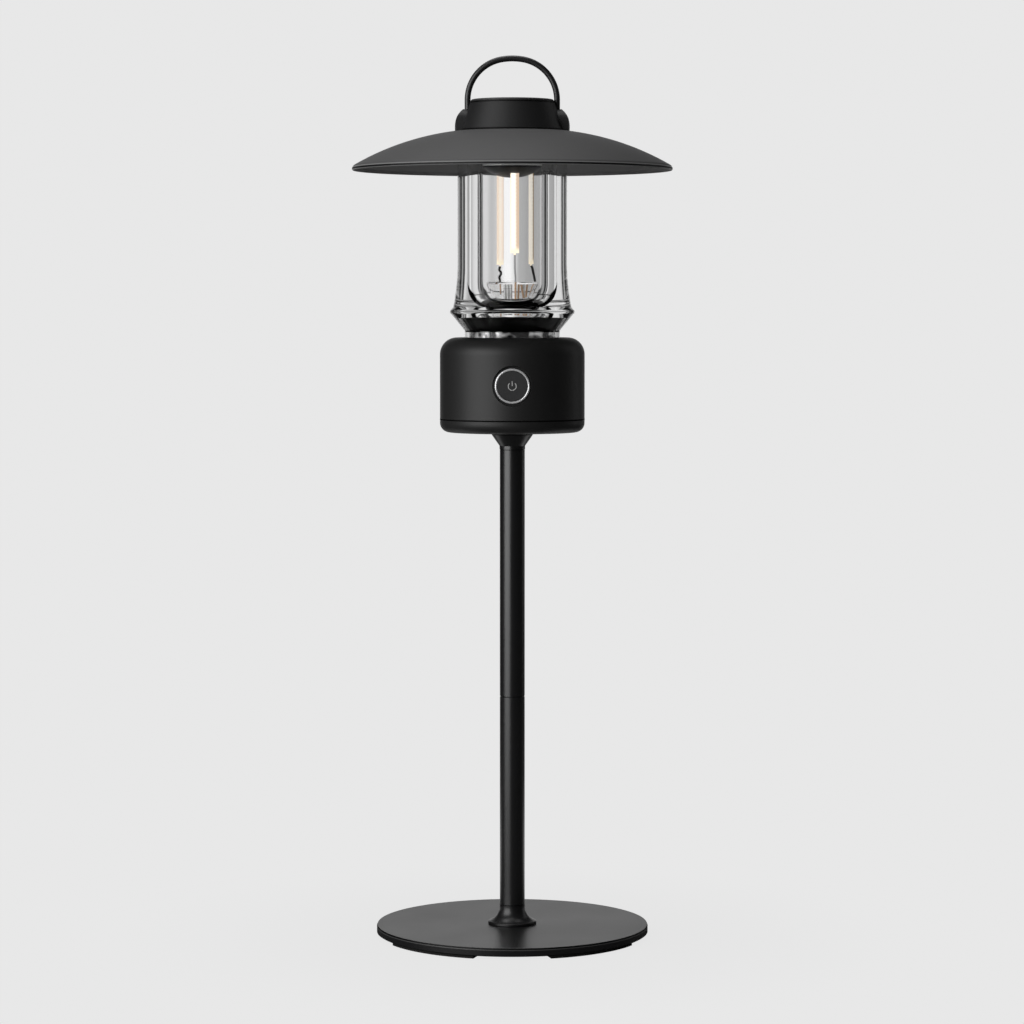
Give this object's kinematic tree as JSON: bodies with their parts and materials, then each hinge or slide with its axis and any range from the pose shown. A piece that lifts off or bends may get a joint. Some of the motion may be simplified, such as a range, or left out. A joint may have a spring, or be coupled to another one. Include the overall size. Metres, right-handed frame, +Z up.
{
  "type": "camping lantern",
  "caption": "Rechargeable LED lantern with a clear chimney, wide dished shade, wire bail and front push button, screwed onto a round-based table pole stand.",
  "frame": {"origin": "on the table under the middle of the stand's round plate", "axes": "+Z up along the pole, -Y out of the front, where the push button is, +X to the viewer's right"},
  "size_m": [0.1018, 0.1018, 0.2816],
  "materials": {
    "black_steel": "satin black paint",
    "black_aluminium": "satin black anodised",
    "shade_grey": "matt dark grey paint",
    "black_plastic": "satin moulded",
    "clear_plastic": "clear polished",
    "warm_filament": "phosphor coat",
    "bare_steel": "plated",
    "bare_aluminium": "bright turned",
    "bright_ring": "polished",
    "button_grey": "fine texture",
    "brass": "turned",
    "black_rubber": "matt",
    "green_board": "solder mask",
    "cell_sleeve": "shrink sleeve",
    "wire_jacket": "matt"
  },
  "bodies": {
    "stand": {"foot_pad_1": "black_rubber", "foot_pad_2": "black_rubber", "foot_pad_3": "black_rubber", "foot_pad_4": "black_rubber", "base_plate": "black_steel", "base_screw": "bare_steel", "foot_flange": "black_steel", "lower_pole": "black_steel", "pole_joiner": "bare_aluminium", "upper_pole": "black_steel", "adapter": "black_aluminium", "adapter_stud": "bare_steel"},
    "washer": {"stud_washer": "black_rubber"},
    "lantern": {"thread_insert": "brass", "bottom_cover": "black_plastic", "cover_screws": "bare_steel", "body_housing": "black_plastic", "battery_cell": "cell_sleeve", "battery_cradle": "black_plastic", "battery_contacts": "bare_steel", "main_board": "green_board", "usb_socket": "bare_steel", "switch_board": "green_board", "tact_switch": "black_plastic", "button_bezel": "bright_ring", "chimney_seal": "black_rubber", "neck_sleeve": "bare_aluminium", "lamp_holder": "black_plastic", "lamp_wires": "wire_jacket", "lamp_stem": "clear_plastic", "filament_leads": "bare_steel", "filament_1": "warm_filament", "filament_2": "warm_filament", "filament_3": "warm_filament", "chimney_foot": "clear_plastic", "chimney": "clear_plastic", "top_plug": "black_plastic", "shade": "shade_grey"},
    "button": {"button_cap": "button_grey", "switch_plunger": "button_grey"},
    "cap_ring": {"cap_gasket": "black_rubber"},
    "cap": {"top_cap": "black_aluminium"},
    "bail": {"bail_handle": "black_steel"}
  },
  "joints": [
    {"name": "lantern_lift", "type": "slide", "parent": "stand", "child": "washer", "axis": [0, 0, 1], "range_m": [0, 0.00635]},
    {"name": "lantern_unscrew", "type": "hinge", "parent": "washer", "child": "lantern", "pos_m": [0, 0, 0.162], "axis": [0, 0, 1], "range_deg": [0, 1801]},
    {"name": "button_press", "type": "slide", "parent": "lantern", "child": "button", "axis": [0, 1, 0], "range_m": [0, 0.0006], "stiffness_N_per_m": 1500, "springref_m": -0.0004},
    {"name": "cap_lift", "type": "slide", "parent": "lantern", "child": "cap_ring", "axis": [0, 0, 1], "range_m": [0, 0.005]},
    {"name": "cap_unscrew", "type": "hinge", "parent": "cap_ring", "child": "cap", "pos_m": [0, 0, 0.2575], "axis": [0, 0, 1], "range_deg": [0, 1801]},
    {"name": "bail_swing", "type": "hinge", "parent": "cap", "child": "bail", "pos_m": [0, 0, 0.2621], "axis": [1, 0, 0], "range_deg": [-90, 0]}
  ],
  "couplings": [
    {"joint": "lantern_unscrew", "follows": "lantern_lift", "rad_per_m": 4947.4},
    {"joint": "cap_unscrew", "follows": "cap_lift", "rad_per_m": 6283.2}
  ]
}
